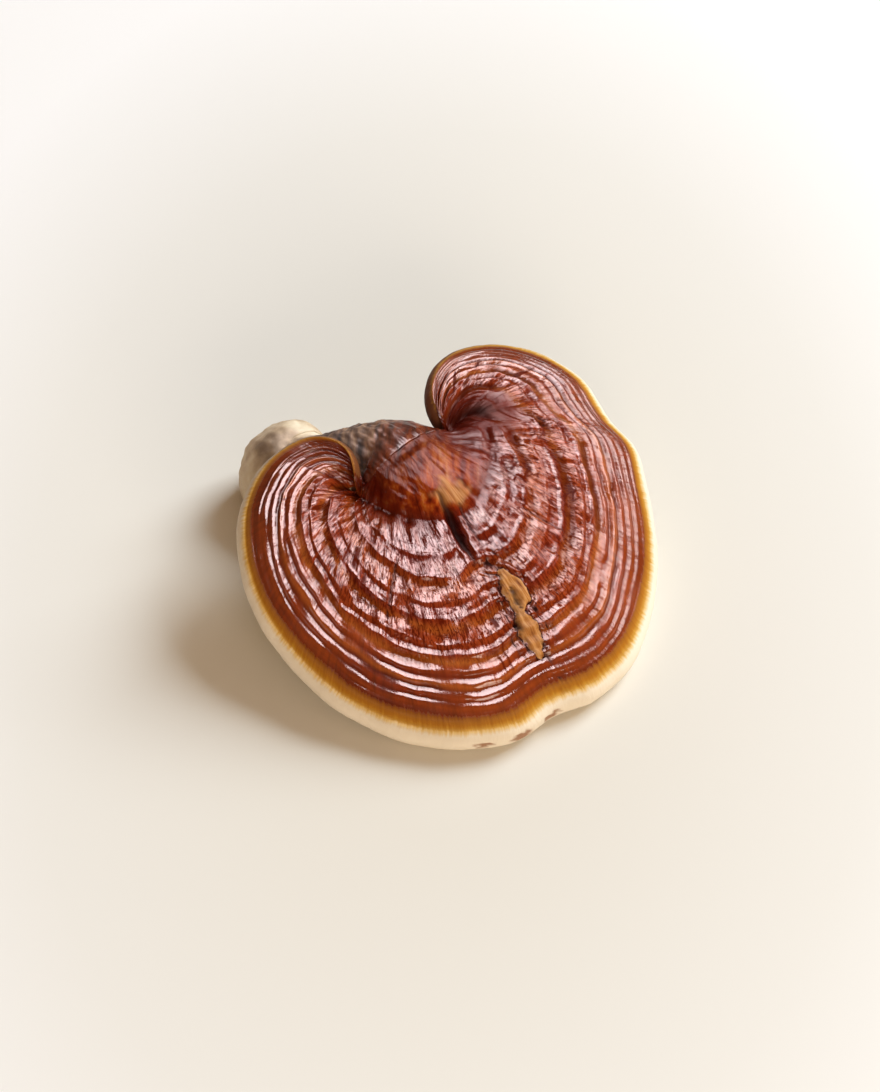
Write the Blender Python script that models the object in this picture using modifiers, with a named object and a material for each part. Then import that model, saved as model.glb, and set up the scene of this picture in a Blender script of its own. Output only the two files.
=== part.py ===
"""Reishi mushroom: a lacquered, kidney-shaped cap grown on a short side stem, picked whole.

The cap is one soft body wrapped round its margin, like a pocket whose mouth is the neck. The stem
leaves that neck backwards to the left, comes down and swells into its foot, which is cut off flat
where it grew. The mushroom rests on that cut and on the underside of its front and right rim.
X runs to the right, Y to the back and Z up, with the origin under the middle of the whole mushroom.
"""

import bmesh
import bpy
import numpy as np

MM = 0.001  # every length below is in millimetres, and each mesh is made in metres

# Neck: the upright oval where the cap and the stem meet.
NECK_CENTRE = np.array([-12.0, 14.8, 29.6])
NECK_HALF_WIDTH = 17.2
NECK_HALF_HEIGHT = 12.5
NECK_TURN = np.radians(43)  # how far its width is turned from the X axis
NECK_SIDE = np.radians(25)  # half of the arc on each side that the cap's rim runs into
NECK_ACROSS = np.array([np.cos(NECK_TURN), np.sin(NECK_TURN), 0.0])
NECK_BACK = np.array([-np.sin(NECK_TURN), np.cos(NECK_TURN), 0.0])
UP = np.array([0.0, 0.0, 1.0])
JOIN_GAP = 0.3
STEM_STEP = 0.7  # the stem starts this much inside the neck's outline

# Outermost line of the rim, from the left of the neck round the front to its right.
MARGIN = [
    (-24.6, 7.0, 35.5),
    (-26.4, 12.6, 38.5),
    (-31.5, 17.8, 39.0),
    (-39.0, 20.6, 37.5),
    (-51.5, 15.8, 33.5),
    (-59.2, 1.5, 29.0),
    (-59.8, -12.0, 25.5),
    (-55.0, -28.5, 19.0),
    (-44.0, -43.2, 12.0),
    (-28.0, -56.4, 7.0),
    (-12.0, -63.2, 4.6),
    (6.0, -65.5, 4.5),
    (21.5, -61.6, 4.5),
    (29.2, -54.8, 4.8),
    (41.0, -49.0, 4.6),
    (52.0, -37.0, 4.5),
    (59.0, -17.5, 4.5),
    (61.4, 2.0, 7.5),
    (59.2, 21.0, 13.0),
    (56.0, 34.5, 17.0),
    (50.0, 41.5, 19.0),
    (40.5, 56.2, 24.0),
    (29.5, 63.0, 27.0),
    (13.0, 64.0, 31.0),
    (0.4, 57.6, 33.5),
    (-6.2, 45.0, 35.5),
    (-6.6, 35.0, 35.5),
    (-3.6, 28.5, 33.5),
]

# The rim is a blunt round edge between these two angles of its section.
RIM_DEPTH = 4.5
RIM_FROM = np.radians(60)
RIM_TO = np.radians(-80)

# How the cap changes along its rim, at these shares of the way round, evened out over EASE on each side.
EASE = 0.03
ROUND_THE_RIM = [0.00, 0.10, 0.20, 0.32, 0.42, 0.55, 0.66, 0.76, 0.86, 0.94, 1.00]
RIM_HALF_HEIGHT = [4.0, 3.8, 4.0, 4.4, 4.5, 4.5, 4.5, 4.2, 3.8, 3.8, 4.0]
HUB_HEIGHT = [31.0, 31.5, 32.5, 33.0, 33.5, 35.0, 36.0, 35.5, 33.0, 31.0, 31.0]
CROWN = [1.0, 5.0, 6.0, 4.5, 3.0, 3.0, 4.0, 5.0, 6.5, 4.5, 1.0]
HOLLOW = [1.0, 4.5, 4.0, 3.0, 2.0, 0.5, 0.0, 1.0, 5.5, 5.5, 1.0]
UNDER_ARCH = [0.0, 1.5, 3.0, 4.0, 4.5, 4.5, 4.0, 3.0, 2.0, 1.0, 0.0]
FALL = 1.7  # how late the top falls away towards the rim
CROWN_LEAN = 0.9  # under 1, the swell of the top is highest nearer the neck
HOLLOW_REACH = 0.24
RUN_STEP = 0.004  # the direction of the rim is read over this share of it on each side

# The knuckle: the stem's end, which stands out of the middle of the cap in front of the neck.
KNUCKLE_LENGTH = 25.0
KNUCKLE_EDGE = 0.33  # its height at its gentle outline, as a share of the neck's half height
KNUCKLE_BLEND = 1.6
WIDE_BLEND = 4.0  # added to the blend where it runs out gently
BLEND_FROM_NECK = 0.3  # the share of the way to the rim over which that is added
OPEN_FROM = -0.45  # sine of the bearing from the neck at which the crease ends and the gentle side starts
OPEN_TO = 0.35

# The cage has one station for each of these, and these steps across the top and the underside.
STATIONS = 44
CROWDING = 0.5  # how much closer the stations stand beside the neck, where the rim curls most
TOP_STEPS = [0.0, 0.06, 0.13, 0.21, 0.30, 0.42, 0.56, 0.70, 0.84, 0.94]
RIM_STEPS = 4
UNDER_STEPS = [0.90, 0.70, 0.45, 0.20, 0.0]

# Stem: the middle of each section, with its half width and half height.
STEM_SECTIONS = [
    ((-15.6, 18.6, 29.0), 13.0, 12.0),
    ((-21.0, 20.8, 27.6), 11.4, 11.6),
    ((-28.0, 22.2, 24.8), 10.6, 10.9),
    ((-35.0, 23.6, 20.8), 10.4, 10.6),
    ((-41.2, 27.0, 16.4), 11.4, 11.6),
    ((-46.2, 31.0, 12.8), 14.6, 14.6),
    ((-48.6, 31.0, 6.0), 14.2, 13.8),
    ((-49.8, 30.4, -0.5), 12.0, 12.0),
    ((-50.4, 30.0, -5.0), 8.5, 8.5),
]
STEM_SIDES = 24
STEM_RINGS = 15

FLOOR_CUT = (300.0, 300.0, 100.0)  # the block below the surface that cuts the stem's foot flat

# Colour and roughness of each piece's crust.
LACQUER = ((0.25, 0.05, 0.02), 0.25)
BARK = ((0.35, 0.18, 0.09), 0.45)


def smooth_step(x, low=0.0, high=1.0):
    """Goes from 0 to 1 as x goes from low to high, level at both ends."""
    x = np.clip((x - low) / (high - low), 0.0, 1.0)
    return x * x * (3.0 - 2.0 * x)


def through(points, shares):
    """Places on the smooth curve through some points, at these shares of its length."""
    points = np.asarray(points, float)
    steps = np.linalg.norm(np.diff(points[:, :3], axis=0), axis=1)
    reach = np.concatenate([[0.0], np.cumsum(steps)])
    slopes = np.gradient(points, reach, axis=0)
    where = np.asarray(shares) * reach[-1]
    k = np.clip(np.searchsorted(reach, where, side="right") - 1, 0, len(steps) - 1)
    span = steps[k][:, None]
    x = ((where - reach[k]) / steps[k])[:, None]
    return (
        points[k] * (1 + 2 * x) * (1 - x) ** 2
        + points[k + 1] * x * x * (3 - 2 * x)
        + slopes[k] * span * x * (1 - x) ** 2
        - slopes[k + 1] * span * x * x * (1 - x)
    )


def along(shares, values):
    """A measure of the cap that changes smoothly round its rim."""
    near = [np.clip(shares + aside, 0.0, 1.0) for aside in (-EASE, 0.0, EASE)]
    return np.interp(near, ROUND_THE_RIM, values).mean(axis=0)



def neck(angle):
    """A point of the neck's oval: 0 on its right, a quarter turn on its top, a half turn on its left."""
    angle = np.asarray(angle)[..., None]
    return (
        NECK_CENTRE
        + NECK_ACROSS * NECK_HALF_WIDTH * np.cos(angle)
        + UP * NECK_HALF_HEIGHT * np.sin(angle)
    )


RIM_CURVE = [neck(np.pi), *MARGIN, neck(0.0)]


def from_neck(x, y):
    """How far a point of the floor lies to the neck's right, and how far in front of it."""
    east, north = x - NECK_CENTRE[0], y - NECK_CENTRE[1]
    across = east * NECK_ACROSS[0] + north * NECK_ACROSS[1]
    ahead = -(east * NECK_BACK[0] + north * NECK_BACK[1])
    return across, ahead


def open_side(x, y):
    """0 on the knuckle's left, where a crease parts it from the lobe, to 1 where it runs out into the cap."""
    across, ahead = from_neck(x, y)
    bearing = across / np.maximum(np.hypot(across, ahead), 1e-6)
    return smooth_step(bearing, OPEN_FROM, OPEN_TO)


def knuckle(x, y):
    """Height of the knuckle over a point of the floor: steep on its left, and gentle elsewhere."""
    across, ahead = from_neck(x, y)
    inside = 1.0 - (across / NECK_HALF_WIDTH) ** 2 - (ahead / KNUCKLE_LENGTH) ** 2
    steep = np.sign(inside) * np.sqrt(np.abs(inside))
    gentle = KNUCKLE_EDGE + (1.0 - KNUCKLE_EDGE) * inside
    return NECK_CENTRE[2] + NECK_HALF_HEIGHT * (steep + (gentle - steep) * open_side(x, y))


def soft_max(a, b, blend):
    """The higher of two heights, rounded where they cross."""
    return 0.5 * (a + b + np.sqrt((a - b) ** 2 + blend**2))


def cap_sections(shares):
    """Cage points of the cap: one row for each share of the way round the rim, from top to underside."""
    shares = np.asarray(shares)
    rim_line = through(RIM_CURVE, shares)
    before, after = (np.clip(shares + aside, 0.0, 1.0) for aside in (-RUN_STEP, RUN_STEP))
    run = through(RIM_CURVE, after) - through(RIM_CURVE, before)
    outward = np.stack([run[:, 1], -run[:, 0], 0 * shares], axis=1)
    outward /= np.linalg.norm(outward, axis=1)[:, None]
    half = along(shares, RIM_HALF_HEIGHT)[:, None]
    swing = (1.0 - np.cos(np.pi * shares)) / 2.0
    top_angle = np.pi - NECK_SIDE - swing * (np.pi - 2 * NECK_SIDE)
    start, end = neck(top_angle), neck(-top_angle)
    heart = rim_line - outward * RIM_DEPTH

    def edge(angle):
        return heart + outward * RIM_DEPTH * np.cos(angle) + UP * half * np.sin(angle)

    columns = []
    shoulder = edge(RIM_FROM)
    for t in TOP_STEPS:
        place = start + (shoulder - start) * t
        rise = along(shares, HUB_HEIGHT)
        rise = rise + (shoulder[:, 2] - rise) * t**FALL
        rise = rise + along(shares, CROWN) * np.sin(np.pi * t**CROWN_LEAN)
        rise = rise - along(shares, HOLLOW) * np.exp(-((t / HOLLOW_REACH) ** 2))
        x, y = place[:, 0], place[:, 1]
        blend = KNUCKLE_BLEND + WIDE_BLEND * open_side(x, y) * smooth_step(t, 0.0, BLEND_FROM_NECK)
        if t > 0:
            place[:, 2] = soft_max(rise, knuckle(x, y), blend)
        columns.append(place)
    for angle in np.linspace(RIM_FROM, RIM_TO, RIM_STEPS):
        columns.append(edge(angle))
    heel = edge(RIM_TO)
    for t in UNDER_STEPS:
        place = end + (heel - end) * t
        place[:, 2] += along(shares, UNDER_ARCH) * np.sin(np.pi * t)
        columns.append(place)
    cage = np.stack(columns, axis=1)
    sides = np.linspace(NECK_SIDE, -NECK_SIDE, cage.shape[1])
    cage[0] = neck(np.pi - sides)
    cage[-1] = neck(sides)
    return cage


def soft_body(name, cage, around, material):
    """A mesh object from a cage of rows and columns, closed at its open ends and rounded once."""
    mesh = bpy.data.meshes.new(name)
    shape = bmesh.new()
    rows, columns = cage.shape[:2]
    grid = [[shape.verts.new(p * MM) for p in row] for row in cage]
    last = columns if around else columns - 1
    for i in range(rows - 1):
        for j in range(last):
            k = (j + 1) % columns
            shape.faces.new((grid[i][j], grid[i][k], grid[i + 1][k], grid[i + 1][j]))
    ends = bmesh.ops.holes_fill(shape, edges=[e for e in shape.edges if e.is_boundary], sides=0)
    crease = shape.edges.layers.float.new("crease_edge")
    for face in ends["faces"]:
        for edge in face.edges:
            edge[crease] = 1.0
    bmesh.ops.recalc_face_normals(shape, faces=shape.faces)
    shape.to_mesh(mesh)
    shape.free()
    mesh.shade_smooth()
    mesh.materials.append(material)
    obj = bpy.data.objects.new(name, mesh)
    soften = obj.modifiers.new("Soften", "SUBSURF")
    soften.levels = 1
    soften.render_levels = 1
    return obj


def stem_cage():
    """Rings of the stem, from the neck to below the floor."""
    first = NECK_CENTRE + NECK_BACK * JOIN_GAP
    table = [(*first, NECK_HALF_WIDTH - STEM_STEP, NECK_HALF_HEIGHT - STEM_STEP)]
    table += [(*middle, width, height) for middle, width, height in STEM_SECTIONS]
    shares = np.linspace(0.0, 1.0, STEM_RINGS)
    rings = through(table, shares)
    ahead = np.gradient(rings[:, :3], axis=0)
    ahead[0] = NECK_BACK
    turns = np.linspace(0.0, 2 * np.pi, STEM_SIDES, endpoint=False)
    cage = []
    across = NECK_ACROSS
    for ring, run in zip(rings, ahead):
        run = run / np.linalg.norm(run)
        across = across - run * (across @ run)
        across = across / np.linalg.norm(across)
        rise = np.cross(across, run)
        width, height = ring[3:]
        cage.append(
            ring[:3]
            + np.outer(np.cos(turns) * width, across)
            + np.outer(np.sin(turns) * height, rise)
        )
    return np.array(cage)


def finish(name, colour, roughness):
    """A plain material for one piece."""
    material = bpy.data.materials.new(name)
    material.use_nodes = True
    shader = material.node_tree.nodes["Principled BSDF"]
    shader.inputs["Base Color"].default_value = (*colour, 1.0)
    shader.inputs["Roughness"].default_value = roughness
    return material


def lows_and_highs(objects):
    """The corners of the box round some objects, with their modifiers."""
    bpy.context.view_layer.update()
    graph = bpy.context.evaluated_depsgraph_get()
    corners = []
    for obj in objects:
        seen = obj.evaluated_get(graph)
        corners += [seen.matrix_world @ v.co for v in seen.data.vertices]
    corners = np.array(corners)
    return corners.min(axis=0), corners.max(axis=0)


def new_collection(name):
    """An empty collection in the scene."""
    made = bpy.data.collections.new(name)
    bpy.context.scene.collection.children.link(made)
    return made


def main():
    """The mushroom, resting on the floor with the middle of its plan at the origin."""
    for obj in list(bpy.data.objects):
        bpy.data.objects.remove(obj, do_unlink=True)
    parts = new_collection("Reishi mushroom")
    cutters = new_collection("Cutters")

    lacquer = finish("lacquered_crust", *LACQUER)
    bark = finish("stem_crust", *BARK)
    evenly = np.linspace(0.0, 1.0, STATIONS)
    stations = evenly - CROWDING * np.sin(2 * np.pi * evenly) / (2 * np.pi)
    cap = soft_body("cap", cap_sections(stations), False, lacquer)
    stem = soft_body("stem", stem_cage(), True, bark)
    for obj in (cap, stem):
        parts.objects.link(obj)

    low, high = lows_and_highs([cap])
    for obj in (cap, stem):
        obj.location.z = -low[2]

    bpy.ops.mesh.primitive_cube_add(size=1.0)
    floor = bpy.context.object
    floor.name = "floor_cut"
    floor.scale = [side * MM for side in FLOOR_CUT]
    floor.location.z = -FLOOR_CUT[2] / 2 * MM
    floor.hide_render = True
    floor.display_type = "WIRE"
    for home in list(floor.users_collection):
        home.objects.unlink(floor)
    cutters.objects.link(floor)

    cut = stem.modifiers.new("Cut where it grew", "BOOLEAN")
    cut.operation = "DIFFERENCE"
    cut.object = floor

    low, high = lows_and_highs([cap, stem])
    for obj in (cap, stem):
        obj.location.x -= (low[0] + high[0]) / 2
        obj.location.y -= (low[1] + high[1]) / 2


main()
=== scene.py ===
import bpy
import numpy as np
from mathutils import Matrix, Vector


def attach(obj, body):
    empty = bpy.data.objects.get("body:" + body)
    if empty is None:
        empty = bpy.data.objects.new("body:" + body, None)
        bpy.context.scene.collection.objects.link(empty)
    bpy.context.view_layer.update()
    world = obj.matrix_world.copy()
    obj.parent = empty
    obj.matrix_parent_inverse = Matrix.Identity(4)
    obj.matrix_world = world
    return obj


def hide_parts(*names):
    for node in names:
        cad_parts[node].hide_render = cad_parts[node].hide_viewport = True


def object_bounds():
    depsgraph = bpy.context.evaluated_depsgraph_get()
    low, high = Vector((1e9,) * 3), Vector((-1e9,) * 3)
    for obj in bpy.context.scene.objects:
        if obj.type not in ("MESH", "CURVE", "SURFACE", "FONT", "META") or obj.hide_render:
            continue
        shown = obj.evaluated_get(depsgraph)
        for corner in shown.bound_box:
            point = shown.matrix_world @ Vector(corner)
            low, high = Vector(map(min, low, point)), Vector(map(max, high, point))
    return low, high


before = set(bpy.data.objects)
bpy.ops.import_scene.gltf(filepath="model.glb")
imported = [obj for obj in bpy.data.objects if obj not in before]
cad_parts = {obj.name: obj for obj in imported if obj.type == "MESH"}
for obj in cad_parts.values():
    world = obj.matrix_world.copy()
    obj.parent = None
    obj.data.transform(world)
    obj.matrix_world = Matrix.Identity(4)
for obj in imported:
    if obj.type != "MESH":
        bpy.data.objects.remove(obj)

MM = 0.001  # lengths are in millimetres up to the point where a mesh or a lamp is made
cad_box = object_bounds()

# ---------------------------------------------------------------------------------------------
# The mushroom's own shape, in its grower's frame: the same curves as the solids, in millimetres
# ---------------------------------------------------------------------------------------------

NECK_CENTRE = np.array([-12.0, 14.8, 29.6])
NECK_HALF_WIDTH = 17.2
NECK_HALF_HEIGHT = 12.5
NECK_TURN = np.radians(43)
NECK_SIDE = np.radians(25)
NECK_ACROSS = np.array([np.cos(NECK_TURN), np.sin(NECK_TURN), 0.0])
NECK_BACK = np.array([-np.sin(NECK_TURN), np.cos(NECK_TURN), 0.0])
UP = np.array([0.0, 0.0, 1.0])

# the rim's outermost line, from the neck's left round the front to its right
MARGIN = [
    (-24.6, 7.0, 35.5),
    (-26.4, 12.6, 38.5),
    (-31.5, 17.8, 39.0),
    (-39.0, 20.6, 37.5),
    (-51.5, 15.8, 33.5),
    (-59.2, 1.5, 29.0),
    (-59.8, -12.0, 25.5),
    (-55.0, -28.5, 19.0),
    (-44.0, -43.2, 12.0),
    (-28.0, -56.4, 7.0),
    (-12.0, -63.2, 4.6),
    (6.0, -65.5, 4.5),
    (21.5, -61.6, 4.5),
    (29.2, -54.8, 4.8),
    (41.0, -49.0, 4.6),
    (52.0, -37.0, 4.5),
    (59.0, -17.5, 4.5),
    (61.4, 2.0, 7.5),
    (59.2, 21.0, 13.0),
    (56.0, 34.5, 17.0),
    (50.0, 41.5, 19.0),
    (40.5, 56.2, 24.0),
    (29.5, 63.0, 27.0),
    (13.0, 64.0, 31.0),
    (0.4, 57.6, 33.5),
    (-6.2, 45.0, 35.5),
    (-6.6, 35.0, 35.5),
    (-3.6, 28.5, 33.5),
]
RIM_LENGTH = 392.0
RIM_DEPTH = 4.5
RIM_FROM = np.radians(60)
RIM_TO = np.radians(-80)

# measures of the cap, each given at these shares of the way round the rim
ROUND_THE_RIM = [0.00, 0.10, 0.20, 0.32, 0.42, 0.55, 0.66, 0.76, 0.86, 0.94, 1.00]
RIM_HALF_HEIGHT = [4.0, 3.8, 4.0, 4.4, 4.5, 4.5, 4.5, 4.2, 3.8, 3.8, 4.0]
HUB_HEIGHT = [31.0, 31.5, 32.5, 33.0, 33.5, 35.0, 36.0, 35.5, 33.0, 31.0, 31.0]
CROWN = [1.0, 5.0, 6.0, 4.5, 3.0, 3.0, 4.0, 5.0, 6.5, 4.5, 1.0]
HOLLOW = [1.0, 4.5, 4.0, 3.0, 2.0, 0.5, 0.0, 1.0, 5.5, 5.5, 1.0]
UNDER_ARCH = [0.0, 1.5, 3.0, 4.0, 4.5, 4.5, 4.0, 3.0, 2.0, 1.0, 0.0]
FALL = 1.7
HOLLOW_REACH = 0.24
KNUCKLE_LENGTH = 25.0
KNUCKLE_BLEND = 1.6
WIDE_BLEND = 4.0

# sections of the stem from the neck to the foot: middle, half width and half height
STEM_SECTIONS = [
    ((-13.0, 16.0, 29.5), 16.6, 12.6),
    ((-15.8, 18.8, 29.0), 13.8, 12.2),
    ((-21.0, 20.8, 27.6), 11.6, 11.6),
    ((-28.0, 22.2, 24.8), 10.6, 10.9),
    ((-35.0, 23.6, 20.8), 10.4, 10.6),
    ((-41.2, 27.0, 16.4), 11.4, 11.6),
    ((-46.2, 31.0, 12.8), 14.6, 14.6),
    ((-48.6, 31.0, 6.0), 14.2, 13.8),
    ((-49.8, 30.4, -0.5), 12.0, 12.0),
]

FOOT_RINGS = (0.96, 0.60, 0.25)  # the rings that close the foot, as shares of its cut
LARGEST_STRETCH = 1.02  # the most that the finished shape is stretched to fill its box

# How finely each piece is meshed: a quad is about 0.5 by 0.7 mm on the cap's top.
CAP_STATIONS = 536
TOP_ROWS = 150
RIM_ROWS = 17
UNDER_ROWS = 18
STEM_RINGS = 190
STEM_SIDES = 300


def smooth_step(x, low=0.0, high=1.0):
    """Goes from 0 to 1 as x goes from low to high, level at both ends."""
    x = np.clip((x - low) / (high - low), 0.0, 1.0)
    return x * x * (3.0 - 2.0 * x)


def through(points, shares):
    """Places on the smooth curve through some points, at these shares of its length."""
    points = np.asarray(points, float)
    shares = np.asarray(shares, float)
    steps = np.linalg.norm(np.diff(points[:, :3], axis=0), axis=1)
    reach = np.concatenate([[0.0], np.cumsum(steps)])
    slopes = np.gradient(points, reach, axis=0)
    where = shares * reach[-1]
    k = np.clip(np.searchsorted(reach, where, side="right") - 1, 0, len(steps) - 1)
    span = steps[k][..., None]
    x = ((where - reach[k]) / steps[k])[..., None]
    return (
        points[k] * (1 + 2 * x) * (1 - x) ** 2
        + points[k + 1] * x * x * (3 - 2 * x)
        + slopes[k] * span * x * (1 - x) ** 2
        - slopes[k + 1] * span * x * x * (1 - x)
    )


def along(shares, values):
    """A measure of the cap that changes smoothly round its rim."""
    nearby = np.linspace(-0.04, 0.04, 9)
    near = [np.interp(np.clip(shares + d, 0, 1), ROUND_THE_RIM, values) for d in nearby]
    return np.mean(near, axis=0)


def neck(angle):
    """A point of the neck's oval: 0 is its right, a quarter turn its top, a half turn its left."""
    angle = np.asarray(angle)[..., None]
    return (
        NECK_CENTRE
        + NECK_ACROSS * NECK_HALF_WIDTH * np.cos(angle)
        + UP * NECK_HALF_HEIGHT * np.sin(angle)
    )


def knuckle(x, y):
    """Height of the knuckle over a point of the floor: steep on its left, gentle elsewhere."""
    east, north = x - NECK_CENTRE[0], y - NECK_CENTRE[1]
    across = (east * NECK_ACROSS[0] + north * NECK_ACROSS[1]) / NECK_HALF_WIDTH
    ahead = -(east * NECK_BACK[0] + north * NECK_BACK[1]) / KNUCKLE_LENGTH
    inside = 1.0 - across**2 - ahead**2
    steep = np.sign(inside) * np.sqrt(np.abs(inside))
    gentle = 0.33 + 0.67 * inside
    return NECK_CENTRE[2] + NECK_HALF_HEIGHT * (steep + (gentle - steep) * open_side(x, y))


def open_side(x, y):
    """0 on the knuckle's left, where a crease parts it from the lobe, to 1 where it joins the cap."""
    east, north = x - NECK_CENTRE[0], y - NECK_CENTRE[1]
    across = east * NECK_ACROSS[0] + north * NECK_ACROSS[1]
    ahead = -(east * NECK_BACK[0] + north * NECK_BACK[1])
    return smooth_step(across / np.maximum(np.hypot(across, ahead), 1e-6), -0.45, 0.35)


def soft_max(a, b, blend):
    """The higher of two heights, rounded where they cross."""
    return 0.5 * (a + b + np.sqrt((a - b) ** 2 + blend**2))


# ---------------------------------------------------------------------------------------------
# Uneven growth: a smooth random field that is the same on every run
# ---------------------------------------------------------------------------------------------


def scramble(i, j, k, seed):
    """A whole number for each corner of a grid, mixed so that no order shows."""
    h = (i * 73856093) ^ (j * 19349663) ^ (k * 83492791) ^ (seed * 2654435761)
    h = (h ^ (h >> 13)) & 0xFFFFFFFF
    h = (h * 1274126177) & 0xFFFFFFFF
    return h ^ (h >> 16)


def unevenness(x, y, z=0.0, seed=1):
    """Gradient noise, about -1 to 1, with one hump or dip to each unit of its coordinates."""
    x, y, z = np.broadcast_arrays(np.asarray(x, float), y, z)
    i, j, k = (np.floor(c).astype(np.int64) for c in (x, y, z))
    fx, fy, fz = x - i, y - j, z - k
    u, v, w = (f**3 * (f * (f * 6 - 15) + 10) for f in (fx, fy, fz))
    total = np.zeros_like(fx)
    for a in (0, 1):
        for b in (0, 1):
            for c in (0, 1):
                h = scramble(i + a, j + b, k + c, seed)
                turn = (h & 1023) * (2 * np.pi / 1024)
                lift = ((h >> 10) & 1023) / 511.5 - 1.0
                flat = np.sqrt(np.clip(1.0 - lift**2, 0.0, 1.0))
                lean = (
                    np.cos(turn) * flat * (fx - a)
                    + np.sin(turn) * flat * (fy - b)
                    + lift * (fz - c)
                )
                total += lean * (u if a else 1 - u) * (v if b else 1 - v) * (w if c else 1 - w)
    return total * 1.6


def creases(field, width):
    """1 along the lines where a field changes sign, fading to 0 over this much of the field."""
    return np.exp(-((field / width) ** 2))


def beside_line(x, y, points):
    """How far each place lies left of a bent line in the plan, and its share of the way along."""
    off = np.full(np.shape(x), 1e9)
    share = np.zeros(np.shape(x))
    points = np.asarray(points, float)
    for n, (start, end) in enumerate(zip(points[:-1], points[1:])):
        run = end - start
        east, north = x - start[0], y - start[1]
        k = np.clip((east * run[0] + north * run[1]) / (run @ run), 0.0, 1.0)
        gap = np.hypot(east - k * run[0], north - k * run[1])
        side = np.where(run[0] * north - run[1] * east > 0, 1.0, -1.0)
        nearer = gap < np.abs(off)
        off = np.where(nearer, gap * side, off)
        share = np.where(nearer, (n + k) / (len(points) - 1), share)
    return off, share


# ---------------------------------------------------------------------------------------------
# The cap: its smooth form, then what growth and drying did to it
# ---------------------------------------------------------------------------------------------

# grooves between bands of growth: distance in from the rim's shoulder, half width and depth
GROWTH_GROOVES = [
    (3.2, 0.50, 0.14),
    (5.6, 0.50, 0.26),
    (8.2, 0.60, 0.36),
    (11.2, 0.80, 0.55),
    (14.6, 0.70, 0.38),
    (18.6, 1.30, 0.70),
    (22.8, 0.70, 0.32),
    (28.4, 1.90, 0.90),
    (35.0, 0.90, 0.30),
    (42.0, 1.80, 0.70),
    (50.0, 1.40, 0.40),
]
# wounds and folds of the crust, as bent lines in the plan
CLEFT = [(-2.8, -0.5), (0.4, -5.8), (2.6, -10.0), (4.6, -14.2), (8.0, -20.0)]
TORN_CRUST = [(8.5, -19.0), (15.4, -21.5), (20.0, -27.2), (20.6, -32.4), (23.4, -37.0), (26.4, -43.5)]
TEAR_LENGTH = 38.0
TORN_HALF_WIDTH = [0.0, 0.3, 2.8, 3.2, 0.9, 3.2, 2.4, 0.2]
SPLIT_WIDTH = 0.3
SPLITS = [
    [(21.5, -0.5), (28.0, -3.2), (34.5, -5.0)],
    [(25.5, 32.0), (29.0, 30.5)],
    [(25.5, 29.6), (28.6, 29.0)],
    [(26.4, -38.0), (29.4, -45.0)],
    [(3.0, -2.5), (6.0, -9.0), (9.6, -14.0)],
    [(-14.0, -18.0), (-15.6, -27.0), (-17.0, -36.0)],
    [(31.2, -46.5), (32.6, -51.5)],
]
SLIT_WIDTH = 0.65
TEAR_SLITS = [
    [(17.4, -24.6), (18.8, -27.6), (20.8, -30.6)],
    [(16.6, -31.0), (19.2, -34.4), (21.4, -38.5)],
]
NECK_CREASE = [(-27.0, 13.0), (-23.0, 6.5), (-18.5, -1.0), (-13.0, -5.5), (-7.5, -8.0)]
VALLEY = [(11.0, 24.0), (13.0, 15.0), (11.0, 7.0), (9.0, 0.5)]
WORN_PATCH = (1.2, 0.2)
MATT_HUB = (-1.0, 13.0)
MATT_REACH = 12.5
# the sunken, dark hollow of the right lobe: where pleats die out, where it is shaded, and its core
SUNK = (10.0, 30.0)
SUNK_SHADE = (5.0, 21.0)
SUNK_CORE = (10.0, 31.5)
# bruises: share of the way round the rim, and size; they lie this far down round the rim
RIM_BRUISES = [(0.4215, 2.0), (0.4495, 3.2), (0.4755, 2.4)]
BRUISE_DEPTH = 5.2
LOBE_GATHER = 18.0  # how strongly the rings draw together where the lobes run into the neck


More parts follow.
